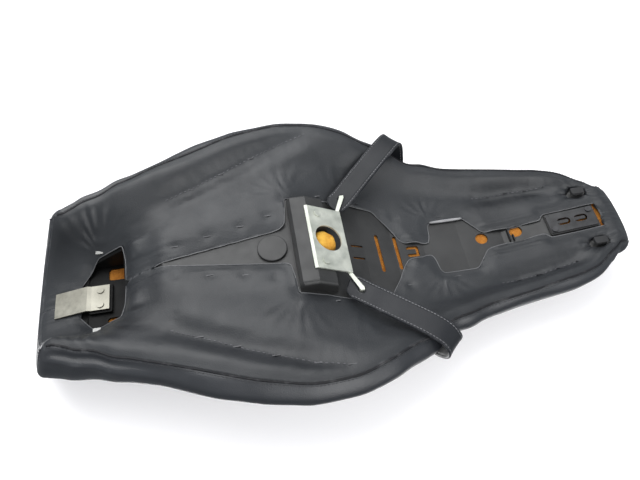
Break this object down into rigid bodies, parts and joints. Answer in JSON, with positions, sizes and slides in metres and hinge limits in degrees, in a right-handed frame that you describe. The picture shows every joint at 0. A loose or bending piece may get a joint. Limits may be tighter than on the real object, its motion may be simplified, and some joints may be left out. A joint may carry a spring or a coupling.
{
  "type": "motorcycle seat",
  "caption": "Low two-up motorcycle seat with a vinyl cover over foam on a moulded pan, steel mounting tongue and strap bracket, and a grab strap that lifts.",
  "frame": {"origin": "The centre of the round locating hole in the strap bracket, half-way through the bracket's sheet, on the centre plane.", "axes": "+Z is cushion up, -Y points to the nose, +Y to the tail, and X is the width, with the rider's right at -X."},
  "size_m": [0.3926, 0.7492, 0.119],
  "materials": {
    "pan_plastic": "satin",
    "foam": "matte",
    "vinyl": "satin",
    "strap_vinyl": "satin",
    "zinc_steel": "satin",
    "black_steel": "satin",
    "rubber": "matte",
    "staple_steel": "satin"
  },
  "bodies": {
    "seat": {"base_pan": "pan_plastic", "pan_plug": "pan_plastic", "foam_core": "foam", "cover_rider_panel": "vinyl", "cover_pillion_panel": "vinyl", "cover_skirt_left": "vinyl", "cover_skirt_right": "vinyl", "strap_bracket": "zinc_steel", "bracket_rivets": "zinc_steel", "front_tongue": "zinc_steel", "tongue_rivets": "zinc_steel", "tongue_backing_plate": "zinc_steel", "rear_slot_plate": "black_steel", "rear_plate_screws": "zinc_steel", "rear_bumpers": "rubber", "staples_rider": "staple_steel", "staples_pillion": "staple_steel", "staples_centre": "staple_steel", "recess_clips": "staple_steel"},
    "strap": {"grab_strap": "strap_vinyl"}
  },
  "joints": [
    {"name": "strap_swing", "type": "hinge", "parent": "seat", "child": "strap", "pos_m": [0, 0.02822, 0.01676], "axis": [1, 0, 0], "range_deg": [0, 6]}
  ]
}
